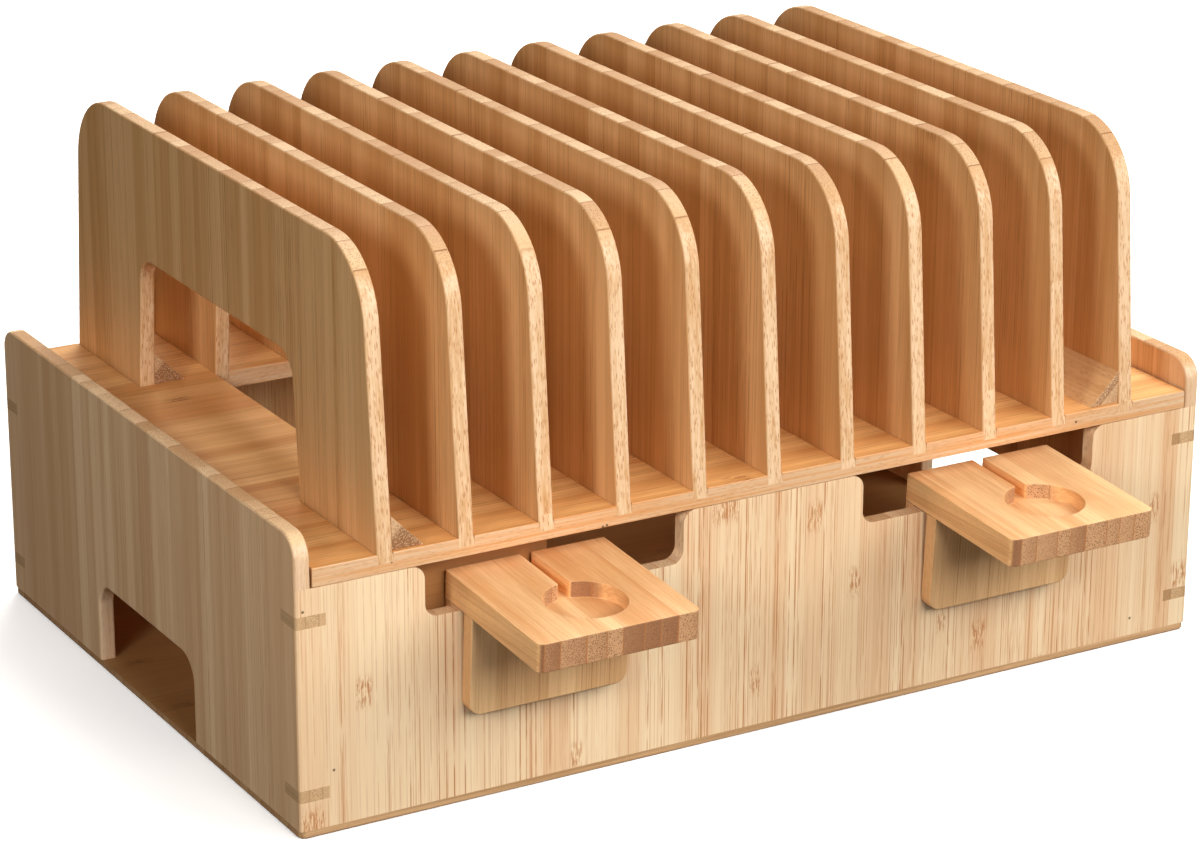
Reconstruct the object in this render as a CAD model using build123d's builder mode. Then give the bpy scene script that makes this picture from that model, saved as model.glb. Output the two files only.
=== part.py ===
from build123d import *
import math
import os

# A bamboo charging station organizer: an open tray that hides a charger,
# a lift-off rack of upright dividers on its top, and two hooked watch mounts
# that sit in notches of the front panel. Millimetres, +Z up, +Y to the back,
# with the origin at the middle of the tray's underside.

# Tray
tray_width = 380.0
tray_depth = 258.0
panel_thickness = 6.0
front_height = 92.0
side_height = 111.0
side_corner_radius = 9.0
upright_corner_radius = 1.5
trim_proud = 0.05
base_thickness = 3.0
base_corner_radius = 3.0
base_edge_radius = 1.0

# Cable cut-outs, one in the foot of each side panel
cutout_width = 85.0
cutout_height = 35.0
cutout_radius = 10.0

# Notches in the top edge of the front panel, for the watch mounts
notch_width = 103.0
notch_spacing = 179.0
notch_floor = 72.5
notch_radius = 5.0

# Splines let into the mitred corners
key_thickness = 4.5
key_relief = 0.6
key_heights = (16.0, 80.0)

# Rack
shelf_thickness = 7.0
shelf_side_gap = 0.6
rail_width = 60.0
divider_count = 11
divider_thickness = 6.0
divider_top = 203.5
divider_lean = 5.0
divider_corner_radius = 28.0
dado_depth = 3.5
window_top = 151.5
window_radius = 10.0
cleat_leg = 12.5
batten_height = 26.0
batten_thickness = 6.0
batten_right_end = 86.5
batten_clearance = 0.8

# Watch mounts
mount_width = 63.0
mount_thickness = 10.7
mount_reach = 55.5
mount_corner_radius = 3.0
mount_shift = 6.5
apron_height = 37.5
apron_thickness = 6.0
plate_height = 25.0
plate_thickness = 5.0
plate_corner_radius = 5.0
apron_gap = 2.4
back_plate_gap = 0.3
slide_clearance = 0.2
puck_diameter = 29.3
puck_depth = 6.0
puck_setback = 24.5
cord_slot_width = 4.5
cord_slot_radius = 1.5

os.makedirs("parts", exist_ok=True)

half_width = tray_width / 2
half_depth = tray_depth / 2
inside_half_width = half_width - panel_thickness
inside_half_depth = half_depth - panel_thickness
panel_height = front_height - base_thickness
trim_width = tray_width + trim_proud * 2
trim_depth = tray_depth + trim_proud * 2
key_leg = panel_thickness + panel_thickness - key_relief
notch_centres = (-notch_spacing / 2, notch_spacing / 2)


def save(piece, name):
    """Label a finished piece and write it to its own file."""
    piece.part.label = name
    export_step(piece.part, f"parts/{name}.step")


def key_outline(side_x, side_y):
    """Triangle that a corner spline covers, seen from above."""
    return [
        (side_x * half_width, side_y * half_depth),
        (side_x * (half_width - key_leg), side_y * half_depth),
        (side_x * half_width, side_y * (half_depth - key_leg)),
    ]


def mitred_outline(side_y):
    """Plan of the front or back panel, with both ends mitred."""
    return [
        (-half_width, side_y * half_depth),
        (half_width, side_y * half_depth),
        (inside_half_width, side_y * inside_half_depth),
        (-inside_half_width, side_y * inside_half_depth),
    ]


def mitre_waste(side_x, side_y):
    """Triangle of a side panel's end that the mitred front or back panel takes."""
    return [
        (side_x * half_width, side_y * half_depth),
        (side_x * inside_half_width, side_y * half_depth),
        (side_x * inside_half_width, side_y * inside_half_depth),
    ]


# The bottom board runs out under all four panels and its lower edge is eased.
with BuildPart() as bottom_board:
    with BuildSketch(Plane.XY):
        RectangleRounded(tray_width, tray_depth, base_corner_radius)
    extrude(amount=base_thickness)
    fillet(bottom_board.faces().sort_by(Axis.Z)[0].edges(), base_edge_radius)
save(bottom_board, "bottom_board")

# The front panel is mitred at both ends and notched in its top edge. The tray's
# upright corners are rounded once it is glued up, so each board has its share.
# The rounding starts a hair outside the faces, so that it crosses them cleanly.
with BuildPart() as front_panel:
    with BuildSketch(Plane.XY.offset(base_thickness)):
        Polygon(*mitred_outline(-1), align=None)
    extrude(amount=panel_height)
    with BuildSketch(Plane.XZ.offset(half_depth)):
        with Locations(*[(centre, front_height) for centre in notch_centres]):
            Rectangle(notch_width, front_height - notch_floor, align=(Align.CENTER, Align.MAX))
    extrude(amount=-panel_thickness, mode=Mode.SUBTRACT)
    fillet(front_panel.edges().filter_by(Axis.Y), notch_radius)
    for key_height in key_heights:
        with BuildSketch(Plane.XY.offset(key_height - key_thickness / 2)):
            for side_x in (-1, 1):
                Polygon(*key_outline(side_x, -1), align=None)
        extrude(amount=key_thickness, mode=Mode.SUBTRACT)
    with BuildSketch(Plane.XY):
        RectangleRounded(trim_width, trim_depth, upright_corner_radius)
    extrude(amount=side_height + trim_proud, mode=Mode.INTERSECT)
save(front_panel, "front_panel")

# The back panel is the same board without the notches.
with BuildPart() as back_panel:
    with BuildSketch(Plane.XY.offset(base_thickness)):
        Polygon(*mitred_outline(1), align=None)
    extrude(amount=panel_height)
    for key_height in key_heights:
        with BuildSketch(Plane.XY.offset(key_height - key_thickness / 2)):
            for side_x in (-1, 1):
                Polygon(*key_outline(side_x, 1), align=None)
        extrude(amount=key_thickness, mode=Mode.SUBTRACT)
    with BuildSketch(Plane.XY):
        RectangleRounded(trim_width, trim_depth, upright_corner_radius)
    extrude(amount=side_height + trim_proud, mode=Mode.INTERSECT)
save(back_panel, "back_panel")

# The side panels stand taller than the front and back, so that the rack sits
# between them. Their ends are mitred up to the front panel's top and square above.
for side_name, side_x in (("left", -1), ("right", 1)):
    with BuildPart() as side_panel:
        with BuildSketch(Plane.YZ.offset(side_x * half_width)) as side_outline:
            with Locations((0, base_thickness)):
                Rectangle(tray_depth, side_height - base_thickness, align=(Align.CENTER, Align.MIN))
                Rectangle(
                    cutout_width,
                    cutout_height - base_thickness,
                    align=(Align.CENTER, Align.MIN),
                    mode=Mode.SUBTRACT,
                )
            fillet(side_outline.vertices().group_by(Axis.Y)[1], cutout_radius)
            fillet(side_outline.vertices().group_by(Axis.Y)[-1], side_corner_radius)
        extrude(amount=-side_x * panel_thickness)
        with BuildSketch(Plane.XY.offset(base_thickness)):
            for side_y in (-1, 1):
                Polygon(*mitre_waste(side_x, side_y), align=None)
        extrude(amount=panel_height, mode=Mode.SUBTRACT)
        for key_height in key_heights:
            with BuildSketch(Plane.XY.offset(key_height - key_thickness / 2)):
                for side_y in (-1, 1):
                    Polygon(*key_outline(side_x, side_y), align=None)
            extrude(amount=key_thickness, mode=Mode.SUBTRACT)
        with BuildSketch(Plane.XY):
            RectangleRounded(trim_width, trim_depth, upright_corner_radius)
        extrude(amount=side_height + trim_proud, mode=Mode.INTERSECT)
    save(side_panel, f"{side_name}_side_panel")

# Two flat splines lock each mitred corner, one low and one high.
for corner_name, side_x, side_y in (
    ("front_left", -1, -1),
    ("front_right", 1, -1),
    ("back_left", -1, 1),
    ("back_right", 1, 1),
):
    with BuildPart() as corner_keys:
        for key_height in key_heights:
            with BuildSketch(Plane.XY.offset(key_height - key_thickness / 2)):
                Polygon(*key_outline(side_x, side_y), align=None)
            extrude(amount=key_thickness)
        with BuildSketch(Plane.XY):
            RectangleRounded(trim_width, trim_depth, upright_corner_radius)
        extrude(amount=side_height + trim_proud, mode=Mode.INTERSECT)
    save(corner_keys, f"{corner_name}_corner_keys")

# Dividers and the gaps between them fill the width between the side panels evenly.
shelf_top = front_height + shelf_thickness
dado_floor = shelf_top - dado_depth
gap_count = divider_count + 1
dividers_total = divider_count * divider_thickness
slot_width = (inside_half_width + inside_half_width - dividers_total) / gap_count
divider_pitch = slot_width + divider_thickness
divider_faces = [
    slot_width + divider_pitch * index - inside_half_width for index in range(divider_count)
]
first_divider = divider_faces[0]
last_divider = divider_faces[-1]
second_divider = divider_faces[1]
shelf_half_width = inside_half_width - shelf_side_gap
window_half_width = half_depth - rail_width
lean_slope = math.tan(math.radians(divider_lean))

# The shelf is one board with a large opening that starts at the second divider.
# Each divider's two legs stand in dadoes open at the front and back edges.
with BuildPart() as shelf_board:
    with BuildSketch(Plane.XY.offset(front_height)):
        Rectangle(shelf_half_width * 2, tray_depth)
        Rectangle(-second_divider * 2, window_half_width * 2, mode=Mode.SUBTRACT)
    extrude(amount=shelf_thickness)
    with BuildSketch(Plane.XY.offset(shelf_top)):
        for face_x in divider_faces:
            with Locations((face_x, -half_depth), (face_x, window_half_width)):
                Rectangle(divider_thickness, rail_width, align=(Align.MIN, Align.MIN))
    extrude(amount=-dado_depth, mode=Mode.SUBTRACT)
save(shelf_board, "shelf_board")

# Each divider leans in towards its top and stands on two legs, so that cords
# cross below its window.
top_half_depth = half_depth - lean_slope * (divider_top - dado_floor)
window_foot_half = window_half_width + lean_slope * dado_depth
window_top_half = window_half_width - lean_slope * (window_top - shelf_top)
for index, face_x in enumerate(divider_faces):
    with BuildPart() as divider:
        with BuildSketch(Plane.YZ.offset(face_x)) as divider_outline:
            Polygon(
                (-half_depth, dado_floor),
                (half_depth, dado_floor),
                (top_half_depth, divider_top),
                (-top_half_depth, divider_top),
                align=None,
            )
            Polygon(
                (-window_foot_half, dado_floor),
                (window_foot_half, dado_floor),
                (window_top_half, window_top),
                (-window_top_half, window_top),
                align=None,
                mode=Mode.SUBTRACT,
            )
            fillet(divider_outline.vertices().group_by(Axis.Y)[1], window_radius)
            fillet(divider_outline.vertices().group_by(Axis.Y)[-1], divider_corner_radius)
        extrude(amount=divider_thickness)
    save(divider, f"divider_{index + 1:02d}")

# Three-cornered glue cleats stiffen the legs of the two end dividers.
cleat_end = half_depth - lean_slope * (dado_depth + cleat_leg)
cleat_length = cleat_end - window_half_width
for cleat_side, face_x, inward in (
    ("left", first_divider + divider_thickness, 1),
    ("right", last_divider, -1),
):
    for cleat_place, cleat_start in (("front", -cleat_end), ("back", window_half_width)):
        with BuildPart() as cleat:
            with BuildSketch(Plane.XZ.offset(-cleat_start)):
                Polygon(
                    (face_x, shelf_top),
                    (face_x + inward * cleat_leg, shelf_top),
                    (face_x, shelf_top + cleat_leg),
                    align=None,
                )
            extrude(amount=-cleat_length)
        save(cleat, f"{cleat_side}_{cleat_place}_cleat")

# A batten under the shelf's front rail reaches from the shelf's left end to the
# left notch, where its end shows behind the watch mount.
mount_back_face = panel_thickness + back_plate_gap + plate_thickness
batten_front = mount_back_face + batten_clearance - half_depth
with BuildPart() as shelf_batten:
    with BuildSketch(Plane.XY.offset(front_height)):
        with Locations((-shelf_half_width, batten_front)):
            Rectangle(
                shelf_half_width - batten_right_end,
                batten_thickness,
                align=(Align.MIN, Align.MIN),
            )
    extrude(amount=-batten_height)
save(shelf_batten, "shelf_batten")

# Each watch mount is a thick platform with two plates glued under it, which hook
# over the front panel. The hook is looser than the panel is thick, so the mount
# tips forward until its apron meets the panel.
mount_tip = math.atan((apron_gap - slide_clearance) / apron_height)
for mount_name, mount_x in (
    ("left", notch_centres[0] - mount_shift),
    ("right", notch_centres[1] + mount_shift),
):
    mount_plane = Plane(
        origin=(mount_x, -half_depth, notch_floor + slide_clearance),
        x_dir=(1, 0, 0),
        z_dir=(0, -math.sin(mount_tip), math.cos(mount_tip)),
    )
    with BuildPart() as platform:
        with BuildSketch(mount_plane) as platform_outline:
            with Locations((0, -mount_reach)):
                Rectangle(
                    mount_width,
                    mount_reach + mount_back_face,
                    align=(Align.CENTER, Align.MIN),
                )
            fillet(platform_outline.vertices().group_by(Axis.Y)[0], mount_corner_radius)
        extrude(amount=mount_thickness)
        with BuildSketch(mount_plane.offset(mount_thickness)) as recess_outline:
            with Locations((0, puck_setback - mount_reach)):
                Circle(puck_diameter / 2)
                Rectangle(
                    cord_slot_width,
                    mount_reach + mount_back_face - puck_setback,
                    align=(Align.CENTER, Align.MIN),
                )
            slot_mouth = recess_outline.vertices().group_by(Axis.Y)[-2]
            fillet(slot_mouth, cord_slot_radius)
        extrude(amount=-puck_depth, mode=Mode.SUBTRACT)
    save(platform, f"{mount_name}_watch_platform")

    for plate_name, plate_face, plate_drop, plate_depth in (
        ("apron", -apron_gap, apron_height, apron_thickness),
        ("back_plate", mount_back_face, plate_height, plate_thickness),
    ):
        plate_plane = Plane(
            origin=mount_plane.from_local_coords((0, plate_face, 0)),
            x_dir=(1, 0, 0),
            z_dir=-mount_plane.y_dir,
        )
        with BuildPart() as hook_plate:
            with BuildSketch(plate_plane) as plate_outline:
                Rectangle(mount_width, plate_drop, align=(Align.CENTER, Align.MAX))
                fillet(plate_outline.vertices().group_by(Axis.Y)[0], plate_corner_radius)
            extrude(amount=plate_depth)
        save(hook_plate, f"{mount_name}_watch_{plate_name}")
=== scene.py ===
import math

import bmesh
import bpy
from mathutils import Matrix, Vector


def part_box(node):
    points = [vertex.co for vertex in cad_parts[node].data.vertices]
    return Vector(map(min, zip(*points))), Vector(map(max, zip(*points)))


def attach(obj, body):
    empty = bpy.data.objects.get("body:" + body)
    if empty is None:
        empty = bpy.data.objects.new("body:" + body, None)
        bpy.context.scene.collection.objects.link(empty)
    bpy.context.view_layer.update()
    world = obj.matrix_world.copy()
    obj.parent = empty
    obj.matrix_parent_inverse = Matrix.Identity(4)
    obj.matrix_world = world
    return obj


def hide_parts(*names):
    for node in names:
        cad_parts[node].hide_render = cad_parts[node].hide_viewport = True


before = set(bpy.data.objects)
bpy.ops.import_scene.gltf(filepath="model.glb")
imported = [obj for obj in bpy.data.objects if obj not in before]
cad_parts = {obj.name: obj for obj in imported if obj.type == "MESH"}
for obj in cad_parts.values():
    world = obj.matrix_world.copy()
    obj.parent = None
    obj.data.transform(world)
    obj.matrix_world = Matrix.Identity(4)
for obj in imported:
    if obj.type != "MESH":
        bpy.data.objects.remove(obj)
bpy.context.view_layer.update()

# The tray: four bamboo boards mitred and glued round a thin bottom board. Each
# is cut from laminated bamboo with its grain upright, sanded on its free edges
# and lacquered satin.
MM = 0.001


class Term:
    """One value in a finish, so that its shader can be written as sums."""

    def __init__(self, tree, socket):
        self.tree = tree
        self.socket = socket

    def node(self, kind, settings=(), out=0, **values):
        """Adds any node: its settings first, then its sockets by name or number."""
        made = self.tree.nodes.new(kind)
        for key, value in dict(settings).items():
            setattr(made, key, value)
        for key, value in values.items():
            spot = int(key[1:]) if key[0] == "_" and key[1:].isdigit() else key.replace("_", " ")
            if isinstance(value, Term):
                self.tree.links.new(value.socket, made.inputs[spot])
            else:
                made.inputs[spot].default_value = value
        return Term(self.tree, made.outputs[out])

    def maths(self, operation, *terms):
        numbered = {f"_{i}": term for i, term in enumerate(terms)}
        return self.node("ShaderNodeMath", {"operation": operation}, **numbered)

    def __add__(self, other):
        return self.maths("ADD", self, other)

    def __radd__(self, other):
        return self.maths("ADD", other, self)

    def __sub__(self, other):
        return self.maths("SUBTRACT", self, other)

    def __rsub__(self, other):
        return self.maths("SUBTRACT", other, self)

    def __mul__(self, other):
        return self.maths("MULTIPLY", self, other)

    def __rmul__(self, other):
        return self.maths("MULTIPLY", other, self)

    def __truediv__(self, other):
        return self.maths("DIVIDE", self, other)

    def floor(self):
        return self.maths("FLOOR", self)

    def fract(self):
        return self.maths("FRACT", self)

    def size(self):
        return self.maths("ABSOLUTE", self)

    def least(self, other):
        return self.maths("MINIMUM", self, other)

    def step(self, low, high):
        """0 at low and 1 at high, smoothly, or the other way round if low is larger."""
        turned = low > high
        made = self.node(
            "ShaderNodeMapRange", {"interpolation_type": "SMOOTHSTEP"},
            Value=self, From_Min=min(low, high), From_Max=max(low, high),
        )
        return 1 - made if turned else made

    def noise(self, detail, rough):
        return self.node("ShaderNodeTexNoise", Vector=self, Scale=1.0,
                         Detail=detail, Roughness=rough)

    def tint(self, low, high):
        """Goes from one colour to another with this value."""
        return self.node("ShaderNodeMix", {"data_type": "RGBA"}, out=2, _0=self, _6=low, _7=high)


def paint(red, green, blue):
    """A colour as a screen shows it, from 0 to 255, turned into light."""
    parts = [c / 255 for c in (red, green, blue)]
    return tuple(((c + 0.055) / 1.055) ** 2.4 if c > 0.04 else c / 12.92 for c in parts) + (1.0,)


NODE_SPACING = 230.0
PIN_EDGES = (0.62, 0.38)
PIN_BROWN = (74, 48, 30)


def bamboo(name, grain, width, strip, seed, pale, deep, line, end_pale, end_deep, end_dot,
           band=5.5, hairs=0.6, glue=0.35, knots=0.5, contrast=1.0, blocks=1.0, dots=0.7,
           edge_pale=None, edge_dash=(176, 118, 70), dashes=0.5, shine=0.5,
           boards=(0.0, 1000.0), lean=0.0, pins=()):
    """Laminated bamboo. grain and width are axis letters; strip and band are in millimetres.

    Its faces show hairlines and the tones of the lamellae, its long edges short
    dashes, and its cut ends blocks of dots, each with its own strength from 0 up.
    Boards that share it are told apart by where they stand: boards gives the
    first place and the step. lean slants the lamellae through the thickness, and
    pins gives the x and z of small dark marks.
    """
    finish = bpy.data.materials.new(name)
    finish.use_nodes = True
    tree = finish.node_tree
    tree.nodes.clear()
    maker = Term(tree, None)

    def parts(of):
        split = tree.nodes.new("ShaderNodeSeparateXYZ")
        tree.links.new(of.socket, split.inputs[0])
        return {letter: Term(tree, split.outputs[i]) for i, letter in enumerate("XYZ")}

    def vector(a, b, c):
        return maker.node("ShaderNodeCombineXYZ", _0=a, _1=b, _2=c)

    def pick(number):
        return maker.node("ShaderNodeTexWhiteNoise", {"noise_dimensions": "1D"}, W=number)

    place = parts(maker.node("ShaderNodeTexCoord", out=3))
    facing = parts(maker.node("ShaderNodeTexCoord", out=1))
    thick = ({"X", "Y", "Z"} - {grain, width}).pop()
    g, w, t = (place[letter] * 1000.0 for letter in (grain, width, thick))
    w = w + t * lean
    end = facing[grain].size().step(0.5, 0.85)
    flank = facing[width].size().step(0.5, 0.85) * (1 - end)
    board = pick(((t - boards[0]) / boards[1]).floor() + seed) * 50.0

    # Lamellae differ a little in width, and each has its own tone
    sway = maker.node("ShaderNodeTexNoise", {"noise_dimensions": "1D"},
                      W=w * (0.37 / strip) + board, Scale=1.0, Detail=0.0)
    lane = (w + sway * strip * 1.6) / strip
    own = pick(lane.floor() + board)
    own_b = pick(lane.floor() + board + 31.7)
    seam = (lane.fract() - 0.5).size().step(0.5 - 0.30 / strip, 0.5 - 0.06 / strip)
    sub = (w + sway * 9.0) / band
    soft = sub.fract().step(0.25, 1.0)
    this_band = pick(sub.floor() + board + 7.0)
    next_band = pick(sub.floor() + board + 8.0)
    tone_band = this_band * (1 - soft) + next_band * soft

    # A node of the cane crosses some lamellae, where the fibres waver and darken
    ring = ((g / NODE_SPACING + own_b).fract() - 0.5).size() * NODE_SPACING
    heart = ((lane.fract() - 0.5).size() * strip).step(3.5, 2.4)
    knot = ring.step(8.0, 2.0) * heart * own.step(1.0 - knots - 0.02, 1.0 - knots + 0.02)
    waver = vector(w * 0.6, t * 0.6, g * 0.18).noise(2.0, 0.6) - 0.5
    side = w + waver * knot * 3.0 + own * 37.0

    # Fibres: broad tone, fine streaks, and the dark bundles that run the full length
    broad = vector(side * 0.24, t * 0.24, g * 0.005 + board).noise(2.0, 0.5)
    fine = vector(side * 1.3, t * 1.3, g * 0.018 + board).noise(3.0, 0.6)
    cluster = vector(side * 0.075, t * 0.05, g * 0.004 + board).noise(1.0, 0.5).step(0.36, 0.6)

    def hairline(cell, breadth, salt):
        track = side / cell + salt
        number = track.floor()
        middle = pick(number + board + salt) * 0.6 + 0.2
        away = (track.fract() - middle).size() * cell
        worth = pick(number + board + salt + 0.5)
        fade = vector(number * 1.7, salt, g * 0.055 + board).noise(2.0, 0.5)
        return away.step(breadth, breadth * 0.35) * worth.step(0.1, 0.8) * fade.step(0.34, 0.58)

    dense = cluster * 0.6 + own_b.step(0.2, 0.8) * 0.4
    coarse = hairline(2.1, 0.36, 3.0) * (0.25 + dense * 0.75)
    lines = coarse + hairline(0.95, 0.26, 9.0) * dense * 0.8
    crumb = vector(w * 2.4, t * 2.4, g * 0.26).noise(2.0, 0.6)

    tone = own * 0.34 + tone_band * 0.30 + broad * 0.40 + fine * 0.50 - 0.77
    wood = (tone * (1.15 * contrast) + 0.5).step(0.0, 1.0).tint(paint(*pale), paint(*deep))
    wood = (lines * hairs).least(1.0).tint(wood, paint(*line))
    wood = (knot * crumb.step(0.47, 0.58) * 0.9).tint(wood, paint(*line))

    # Long edges: the bundles show as short dashes
    speckle = maker.node("ShaderNodeTexVoronoi",
                         Vector=vector(w * 0.55, t * 1.35, g * 0.26), Scale=1.0)
    dash = speckle.step(0.42, 0.22) * crumb.step(0.36, 0.52)
    long_edge = ((fine * 0.7 + broad * 0.6 - 0.65) * (1.6 * contrast) + 0.4).step(0.0, 1.0)
    long_edge = long_edge.tint(paint(*(edge_pale or pale)), paint(*deep))
    long_edge = (dash * dashes).tint(long_edge, paint(*edge_dash))

    # Cut ends: blocks, one to a lamella, with the bundles as dots
    bundle = maker.node("ShaderNodeTexVoronoi",
                        Vector=vector(w * 1.7, t * 1.7, g * 0.05), Scale=1.0)
    speck = bundle.step(0.46, 0.20)
    grit = vector(w * 2.2, t * 2.2, g * 0.05).noise(1.0, 0.5)
    block = (own - 0.5) * blocks + (grit - 0.5) * 0.9 + (lane.fract() - 0.5) * 0.3 + 0.5
    cut = block.step(0.0, 1.0).tint(paint(*end_pale), paint(*end_deep))
    cut = (speck * own_b.step(-0.4, 0.8) * dots).tint(cut, paint(*end_dot))

    shade = flank.tint(wood, long_edge)
    shade = end.tint(shade, cut)
    shade = (seam * glue * (0.35 + end * 1.8) * (1 - flank)).least(1.0).tint(shade, paint(*line))
    for pin_x, pin_z in pins:
        reach = vector(place["X"] * 1000.0 - pin_x, place["Z"] * 1000.0 - pin_z, 0.0)
        reach = reach.node("ShaderNodeVectorMath", {"operation": "LENGTH"}, out=1, _0=reach)
        shade = (reach.step(*PIN_EDGES) * 0.85).tint(shade, paint(*PIN_BROWN))

    height = fine * 0.5 - lines * 0.4 - seam * 0.5 - end * speck * 0.7 - flank * dash * 0.5
    bump = maker.node("ShaderNodeBump", Strength=0.25, Distance=0.0002, Height=height)
    gloss = 0.42 + fine * 0.12 + end * 0.14
    shader = maker.node("ShaderNodeBsdfPrincipled", Base_Color=shade, Roughness=gloss, Normal=bump)
    shader.socket.node.inputs["Specular IOR Level"].default_value = shine
    output = tree.nodes.new("ShaderNodeOutputMaterial")
    tree.links.new(shader.socket, output.inputs[0])
    return finish


WELD = 0.002 * MM
FLAT_ANGLE = math.radians(0.5)
FACET_ANGLE = math.radians(32)
SHARP_ANGLE = math.radians(60)


def shine_way(corner, eased):
    """The way light sees one corner of a face: flats stay flat up to their sanded edges."""
    face = corner.face
    around = [f for f in corner.vert.link_faces if f.normal.length > 0.5]
    reach = SHARP_ANGLE if face[eased] else FACET_ANGLE
    near = [f for f in around if not f[eased] and f.normal.angle(face.normal, 0.0) < reach]
    near = near or [f for f in around if f.normal.angle(face.normal, 0.0) < SHARP_ANGLE] or [face]
    way = Vector((0.0, 0.0, 0.0))
    for f in near:
        way += f.normal * f.calc_area()
    return way.normalized() if way.length > 0 else face.normal


def sanded(name, nodes, finish, ease, free, rounds=3, cut=None):
    """Copies boards from the frame and sands their free edges to a small radius.

    An edge that passes the height cut is sanded only above it.
    """
    shape = bmesh.new()
    for node in nodes:
        shape.from_mesh(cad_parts[node].data)
    bmesh.ops.remove_doubles(shape, verts=shape.verts, dist=WELD)
    bmesh.ops.dissolve_limit(shape, angle_limit=FLAT_ANGLE, verts=shape.verts,
                             edges=shape.edges, delimit={"NORMAL"})
    if cut:
        bmesh.ops.bisect_plane(shape, geom=shape.verts[:] + shape.edges[:] + shape.faces[:],
                               dist=WELD, plane_co=(0.0, 0.0, cut * MM), plane_no=(0.0, 0.0, 1.0))
    sharp = [
        e for e in shape.edges
        if len(e.link_faces) == 2 and e.calc_face_angle() > FACET_ANGLE
        and free((e.verts[0].co + e.verts[1].co) / (2 * MM), [f.normal for f in e.link_faces])
    ]
    eased = shape.faces.layers.int.new("eased")
    rounded = bmesh.ops.bevel(shape, geom=sharp, offset=ease * MM, segments=rounds, profile=0.5,
                              affect="EDGES", clamp_overlap=True)
    for face in rounded["faces"]:
        face[eased] = 1
    bmesh.ops.triangulate(shape, faces=[f for f in shape.faces if len(f.verts) > 4])
    shape.normal_update()
    ways = [shine_way(corner, eased) for face in shape.faces for corner in face.loops]
    mesh = bpy.data.meshes.new(name)
    shape.to_mesh(mesh)
    shape.free()
    mesh.shade_smooth()
    mesh.normals_split_custom_set(ways)
    mesh.attributes.remove(mesh.attributes["eased"])
    mesh.materials.append(finish)
    piece = bpy.data.objects.new(name, mesh)
    bpy.context.scene.collection.objects.link(piece)
    return piece


def fix(piece, body, nodes):
    """Says what a piece moves with and which nodes it stands for, and hides those."""
    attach(piece, body)
    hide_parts(*nodes)


tray_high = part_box("bottom_board")[1]
front_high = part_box("front_panel")[1]
panel_top = front_high[2] / MM
corner_reach = 12.5
corner_x = tray_high[0] / MM - corner_reach
corner_y = -front_high[1] / MM - corner_reach
foot_top = tray_high[2] / MM + 0.2
mitre_top = panel_top - 1.0
side_mitre_top = panel_top + 0.5
MITRE_LEAN = 0.2
LEVEL = 0.5


def open_corner(normals):
    """True unless one of the two faces is a glued mitre."""
    return all(abs(abs(n.x) - abs(n.y)) > MITRE_LEAN or abs(n.z) > LEVEL for n in normals)


def panel_edge(middle, normals):
    """True where a panel's edge is free, away from its glued foot, mitres and splines."""
    if middle.z < foot_top or (abs(middle.x) > corner_x and middle.z < mitre_top):
        return False
    return open_corner(normals)


def side_edge(middle, normals):
    """The same for a side panel, whose ends stand free above the front panel."""
    if middle.z < foot_top or (abs(middle.y) > corner_y and middle.z < side_mitre_top):
        return False
    return open_corner(normals)


def no_edge(middle, normals):
    """For a board that is sanded flush with its neighbours."""
    return False


def every_edge(middle, normals):
    """For a board that is sanded all round."""
    return True


# The front panel's lamellae are a pale cut of the wood, painted paler still than the dividers' to
# stand in for the white sheen of the satin lacquer under the front lamp: partly painted sheen.
front_finish_painted_sheen = bamboo(
    "bamboo_front_painted_sheen", "Z", "X", strip=6.2, seed=3.0, hairs=0.95, contrast=1.15, knots=0.9,
    pale=(247, 221, 182), deep=(231, 190, 147), line=(194, 128, 76),
    end_pale=(220, 186, 146), end_deep=(188, 146, 104), end_dot=(150, 104, 66),
    pins=((-187.2, 84.0), (-176.8, 23.7), (162.9, 10.0)))
# The back panel is painted darker and warmer than the front panel's copy of the same wood, to
# stand in for the shade on its inner face: painted shade.
back_finish_painted_shade = bamboo(
    "bamboo_back_painted_shade", "Z", "X", strip=6.2, seed=4.0, hairs=0.85, contrast=0.95, knots=0.7,
    pale=(236, 196, 144), deep=(214, 165, 110), line=(186, 124, 70),
    end_pale=(220, 186, 146), end_deep=(188, 146, 104), end_dot=(150, 104, 66))
side_finish = bamboo(
    "bamboo_sides", "Z", "Y", strip=13.0, seed=11.0, hairs=0.40, knots=0.12, band=5.0,
    contrast=1.15, boards=(0.0, 100.0),
    pale=(250, 213, 169), deep=(216, 170, 124), line=(176, 126, 86),
    end_pale=(242, 206, 160), end_deep=(206, 160, 112), end_dot=(150, 104, 62),
    edge_pale=(236, 206, 172), dashes=0.2, blocks=1.3)
# The bottom board's faces are painted darker than its edge, to stand in for the shade inside the
# closed tray: painted shade. Its edge keeps the wood's own colour.
base_finish_painted_shade = bamboo(
    "bamboo_base_painted_shade", "X", "Y", strip=9.0, seed=5.0, hairs=0.3,
    pale=(174, 128, 78), deep=(154, 108, 62), line=(120, 78, 42), edge_pale=(220, 178, 132),
    end_pale=(200, 158, 114), end_deep=(178, 132, 88), end_dot=(140, 94, 54), dashes=0.2)
for node, finish, ease, free in (
    ("front_panel", front_finish_painted_sheen, 0.8, panel_edge),
    ("back_panel", back_finish_painted_shade, 0.8, panel_edge),
    ("left_side_panel", side_finish, 1.0, side_edge),
    ("right_side_panel", side_finish, 1.0, side_edge),
    ("bottom_board", base_finish_painted_shade, 0.1, no_edge),
):
    fix(sanded(node + "_lacquered", [node], finish, ease, free), "tray", [node])

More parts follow.
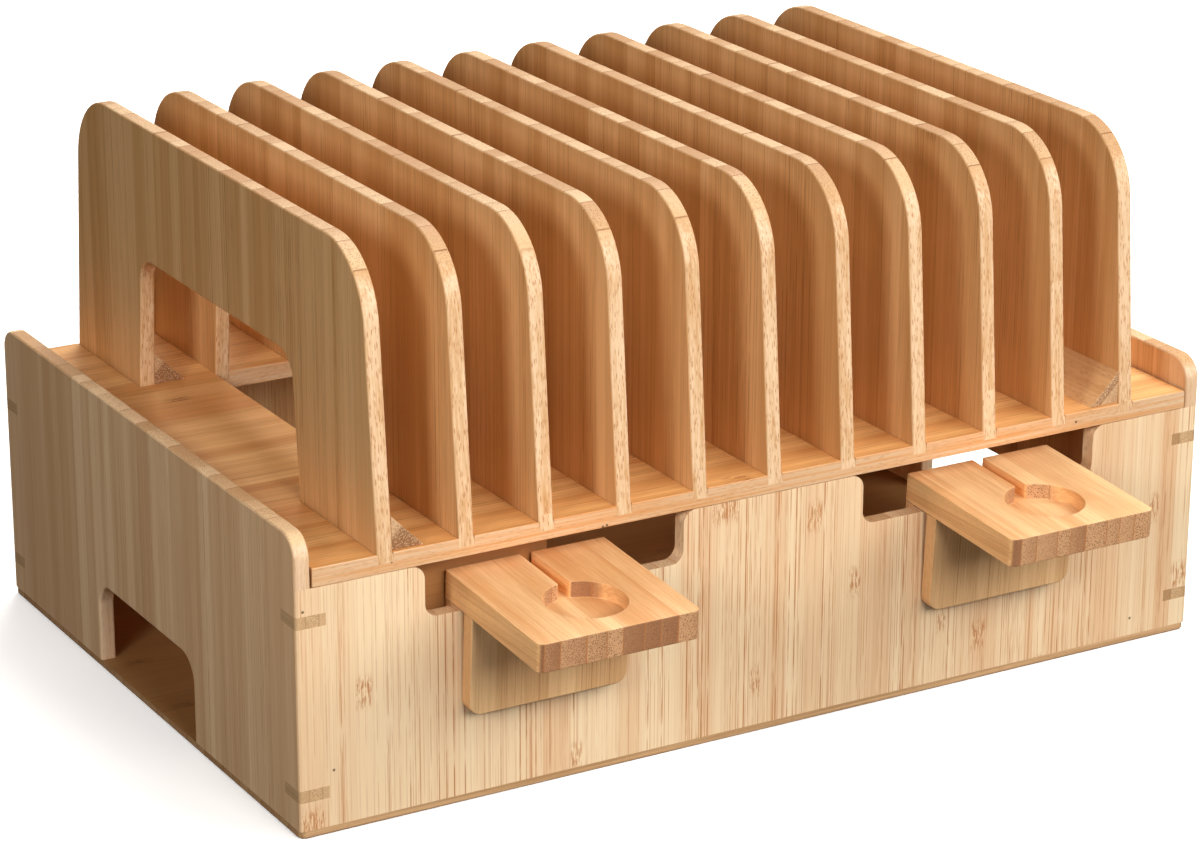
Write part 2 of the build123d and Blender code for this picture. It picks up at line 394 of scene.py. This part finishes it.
# Corner splines: thin bamboo slips glued into saw cuts across each mitre and
# sanded flush, so that only their edges show on the two faces.
key_finish = bamboo(
    "bamboo_splines", "Y", "X", strip=5.5, seed=8.0, hairs=0.3, glue=0.2,
    pale=(212, 174, 130), deep=(188, 146, 104), line=(146, 102, 64),
    end_pale=(212, 174, 130), end_deep=(184, 142, 98), end_dot=(140, 98, 60), dashes=0.2)
for corner in ("front_left", "front_right", "back_left", "back_right"):
    node = f"{corner}_corner_keys"
    fix(sanded(f"{corner}_splines", [node], key_finish, 0.1, no_edge), "tray", [node])

# The rack's shelf: one bamboo board with its grain across, cut out in the
# middle, housed for the dividers, with a short batten glued beneath it.
shelf_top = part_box("shelf_board")[1][2] / MM
HEIGHT_SLACK = 0.1


def shelf_edge(middle, normals):
    """True along the board's long edges and its opening, away from the housings."""
    upright = [n for n in normals if abs(n.z) < LEVEL]
    flat = [n for n in normals if abs(n.z) > LEVEL]
    rise = min(abs(middle.z - shelf_top), abs(middle.z - panel_top))
    return bool(upright and flat) and rise < HEIGHT_SLACK


shelf_finish = bamboo(
    "bamboo_shelf", "X", "Y", strip=20.0, seed=17.0, hairs=0.5, band=7.0, contrast=1.3,
    pale=(250, 198, 130), deep=(218, 149, 82), line=(164, 98, 46),
    end_pale=(222, 180, 134), end_deep=(190, 142, 96), end_dot=(150, 100, 58),
    edge_pale=(226, 194, 158), edge_dash=(184, 130, 84), dashes=0.35,
    pins=((-153.5, 95.6), (-71.0, 92.5), (-69.4, 92.8), (132.8, 95.3)))
# The batten is painted darker than the shelf's wood, to stand in for the shade under the shelf:
# painted shade.
batten_finish_painted_shade = bamboo(
    "bamboo_batten_painted_shade", "X", "Z", strip=12.0, seed=19.0, hairs=0.4, band=6.0,
    pale=(182, 130, 78), deep=(158, 106, 58), line=(120, 74, 38),
    end_pale=(222, 180, 134), end_deep=(190, 142, 96), end_dot=(150, 100, 58))
for name, node, finish, free in (
    ("shelf", "shelf_board", shelf_finish, shelf_edge),
    ("batten", "shelf_batten", batten_finish_painted_shade, every_edge),
):
    fix(sanded(name, [node], finish, 0.4, free, rounds=2), "rack", [node])

# The dividers: eleven like boards with their grain upright, round at the top
# corners, each open at its foot. One is shaped and the rest are set out from it.
divider_nodes = sorted(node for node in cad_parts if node.startswith("divider_"))
first_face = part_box(divider_nodes[0])[0][0]
divider_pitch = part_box(divider_nodes[1])[0][0] - first_face
divider_finish = bamboo(
    "bamboo_dividers", "Z", "Y", strip=13.0, seed=23.0, hairs=0.5, band=6.0, knots=0.07,
    contrast=1.2, blocks=0.8, glue=0.7, shine=0.35,
    boards=((first_face - divider_pitch / 2) / MM, divider_pitch / MM),
    pale=(230, 184, 130), deep=(203, 151, 94), line=(150, 100, 58),
    end_pale=(220, 186, 144), end_deep=(188, 142, 98), end_dot=(152, 104, 62),
    edge_pale=(236, 204, 166), edge_dash=(188, 128, 82), dashes=0.8)


def divider_edge(middle, normals):
    """True for all edges above the housing."""
    return middle.z > shelf_top + HEIGHT_SLACK


def row_tree(name):
    """Sets a shape out in a row: how many, how far apart, and in which finish."""
    tree = bpy.data.node_groups.new(name, "GeometryNodeTree")
    sides = tree.interface
    sides.new_socket("Shape", in_out="INPUT", socket_type="NodeSocketGeometry")
    sides.new_socket("Count", in_out="INPUT", socket_type="NodeSocketInt")
    sides.new_socket("Pitch", in_out="INPUT", socket_type="NodeSocketFloat")
    sides.new_socket("Finish", in_out="INPUT", socket_type="NodeSocketMaterial")
    sides.new_socket("Row", in_out="OUTPUT", socket_type="NodeSocketGeometry")
    add, link = tree.nodes.new, tree.links.new
    given = add("NodeGroupInput")
    step = add("ShaderNodeCombineXYZ")
    points = add("GeometryNodeMeshLine")
    copies = add("GeometryNodeInstanceOnPoints")
    solid = add("GeometryNodeRealizeInstances")
    coat = add("GeometryNodeSetMaterial")
    result = add("NodeGroupOutput")
    points.mode = "OFFSET"
    link(given.outputs["Pitch"], step.inputs["X"])
    link(given.outputs["Count"], points.inputs["Count"])
    link(step.outputs[0], points.inputs["Offset"])
    link(points.outputs["Mesh"], copies.inputs["Points"])
    link(given.outputs["Shape"], copies.inputs["Instance"])
    link(copies.outputs[0], solid.inputs[0])
    link(solid.outputs[0], coat.inputs["Geometry"])
    link(given.outputs["Finish"], coat.inputs["Material"])
    link(coat.outputs[0], result.inputs[0])
    return tree


def set_out(piece, tree, **inputs):
    """Runs a tree on a piece with named inputs and keeps the plain mesh."""
    worker = piece.modifiers.new(tree.name, "NODES")
    worker.node_group = tree
    for item in tree.interface.items_tree:
        if item.in_out == "INPUT" and item.name in inputs:
            worker[item.identifier] = inputs[item.name]
    piece.update_tag()
    bpy.context.view_layer.update()
    graph = bpy.context.evaluated_depsgraph_get()
    made = bpy.data.meshes.new_from_object(piece.evaluated_get(graph))
    piece.modifiers.clear()
    piece.data = made
    made.name = piece.name


dividers = sanded("dividers", divider_nodes[:1], divider_finish, 0.8, divider_edge, cut=shelf_top)
set_out(dividers, row_tree("divider_row"), Count=len(divider_nodes), Pitch=divider_pitch,
        Finish=divider_finish)
fix(dividers, "rack", divider_nodes)

# Glue cleats: three-cornered bamboo strips in the corners at the feet of the two
# end dividers, left rough on their cut ends.
cleat_finish = bamboo(
    "bamboo_cleats", "Y", "X", strip=9.0, seed=29.0, hairs=0.4, lean=-1.0,
    pale=(224, 180, 128), deep=(196, 144, 90), line=(156, 102, 58),
    end_pale=(212, 172, 130), end_deep=(146, 100, 62), end_dot=(232, 200, 160), dots=0.9)
for node in sorted(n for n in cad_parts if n.endswith("_cleat")):
    cleat = sanded(node + "_strip", [node], cleat_finish, 0.3, every_edge, rounds=2)
    fix(cleat, "rack", [node])

# Watch mounts: a thick laminated platform, routed for a charging puck and its
# cord, with two plates glued under it that hook over the front panel.
platform_finish = bamboo(
    "bamboo_platforms", "Y", "X", strip=7.4, seed=44.0, hairs=0.4, band=3.6, knots=0.0,
    contrast=1.3, dots=1.0, blocks=0.85, glue=0.5,
    pale=(248, 205, 150), deep=(222, 160, 102), line=(178, 114, 62),
    end_pale=(206, 158, 114), end_deep=(156, 106, 70), end_dot=(122, 78, 46),
    edge_pale=(255, 204, 142), edge_dash=(208, 150, 92), dashes=0.2)
plate_finish = bamboo(
    "bamboo_plates", "Z", "X", strip=6.2, seed=47.0, hairs=0.6, knots=0.2,
    pale=(238, 196, 144), deep=(214, 164, 112), line=(180, 118, 68),
    end_pale=(210, 170, 126), end_deep=(184, 138, 94), end_dot=(150, 104, 64),
    edge_pale=(236, 184, 128), dashes=0.3)
plate_glue_line = panel_top - 21.0


def plate_edge(middle, normals):
    """True below the glue line under the platform."""
    return middle.z < plate_glue_line


for hand in ("left", "right"):
    for part, finish, ease, free in (
        ("platform", platform_finish, 0.35, every_edge),
        ("apron", plate_finish, 0.6, plate_edge),
        ("back_plate", plate_finish, 0.6, plate_edge),
    ):
        node = f"{hand}_watch_{part}"
        piece = sanded(f"{hand}_{part}_lacquered", [node], finish, ease, free, rounds=2)
        fix(piece, f"{hand}_watch_mount", [node])

# The studio: white paper on the floor and all round, and five soft lamps, seen by
# a long lens from the front left and above. The paper lights nothing itself.
paper_reach = 9.0
dome_radius = paper_reach * 0.95
paper_glow = 0.4
glow_start = 0.4
glow_end = 1.4


def paper(name, shape):
    """White paper that the lamps shade near the object and that glows plain white beyond."""
    sheet = bpy.data.materials.new(name + "_paper")
    sheet.use_nodes = True
    tree = sheet.node_tree
    matt = tree.nodes["Principled BSDF"]
    matt.inputs["Base Color"].default_value = (0.9, 0.9, 0.9, 1.0)
    matt.inputs["Roughness"].default_value = 0.9
    matt.inputs["Specular IOR Level"].default_value = 0.1
    matt.inputs["Emission Strength"].default_value = 1.0
    spot = Term(tree, None).node("ShaderNodeTexCoord", out=3)
    spread = spot.node("ShaderNodeVectorMath", {"operation": "LENGTH"}, out=1, _0=spot)
    glow = spread.step(glow_start, glow_end) * (1 - paper_glow) + paper_glow
    glow = glow.tint((0, 0, 0, 1), (1, 1, 1, 1))
    tree.links.new(glow.socket, matt.inputs["Emission Color"])
    shape.materials.append(sheet)
    piece = bpy.data.objects.new(name, shape)
    bpy.context.scene.collection.objects.link(piece)
    piece.visible_diffuse = False
    piece.visible_glossy = False
    return piece


floor_shape = bpy.data.meshes.new("floor")
floor_shape.from_pydata(
    [(-paper_reach, -paper_reach, 0), (paper_reach, -paper_reach, 0),
     (paper_reach, paper_reach, 0), (-paper_reach, paper_reach, 0)], [], [(0, 1, 2, 3)])
floor = paper("floor", floor_shape)
dome = bmesh.new()
bmesh.ops.create_uvsphere(dome, u_segments=32, v_segments=16, radius=dome_radius)
backdrop_shape = bpy.data.meshes.new("backdrop")
dome.to_mesh(backdrop_shape)
dome.free()
backdrop = paper("backdrop", backdrop_shape)
backdrop.visible_shadow = False

world = bpy.data.worlds.new("studio")
world.use_nodes = True
world.node_tree.nodes["Background"].inputs["Color"].default_value = (1.0, 0.88, 0.74, 1.0)
world.node_tree.nodes["Background"].inputs["Strength"].default_value = 0.045
bpy.context.scene.world = world
bpy.context.scene.view_settings.view_transform = "Standard"

# Each lamp has its power in watts, its side in metres, its azimuth and rise in
# degrees and its distance in metres. The rear one lights without a reflection.
lamp_target = Vector((0.0, 0.0, 0.1))
for lamp_name, power, size, azimuth, rise, far in (
    ("left_softbox", 4.9, 0.3, -58, 21, 1.2),
    ("front_softbox", 16.0, 0.7, -4, 27, 1.7),
    ("right_softbox", 19.5, 1.2, 40, 32, 1.7),
    ("back_softbox", 24.0, 0.6, 150, 58, 1.7),
    ("rear_softbox", 11.0, 0.9, 176, 16, 1.7),
):
    lamp = bpy.data.lights.new(lamp_name, "AREA")
    lamp.size = size
    lamp.energy = power
    lamp.color = (1.0, 0.98, 0.95)
    lamp_stand = bpy.data.objects.new(lamp_name, lamp)
    bpy.context.scene.collection.objects.link(lamp_stand)
    across = math.cos(math.radians(rise)) * far
    lamp_way = Vector((
        math.sin(math.radians(azimuth)) * across,
        -math.cos(math.radians(azimuth)) * across,
        math.sin(math.radians(rise)) * far,
    ))
    lamp_stand.location = lamp_target + lamp_way
    lamp_stand.rotation_euler = lamp_way.to_track_quat("Z", "Y").to_euler()
    lamp_stand.visible_camera = False
    lamp_stand.visible_glossy = lamp_name != "rear_softbox"

# The camera stands where a fit to the photograph's edges puts it.
camera_place = Vector((-0.7040, -1.2200, 0.5846))
camera_azimuth = math.radians(30.07)
camera_dip = math.radians(19.76)
camera_roll = math.radians(0.21)
ahead = Vector((
    math.sin(camera_azimuth) * math.cos(camera_dip),
    math.cos(camera_azimuth) * math.cos(camera_dip),
    -math.sin(camera_dip),
))
level = Vector((math.cos(camera_azimuth), -math.sin(camera_azimuth), 0))
upward = level.cross(ahead)
rightward = level * math.cos(camera_roll) + upward * math.sin(camera_roll)
upward = rightward.cross(ahead)
camera_lens = bpy.data.cameras.new("camera")
camera_lens.lens = 116.55
camera_lens.sensor_width = 36.0
camera_lens.clip_start = 0.05
camera = bpy.data.objects.new("camera", camera_lens)
camera.matrix_world = Matrix.Translation(camera_place) @ Matrix(
    (rightward, upward, -ahead)).transposed().to_4x4()
bpy.context.scene.collection.objects.link(camera)
bpy.context.scene.camera = camera
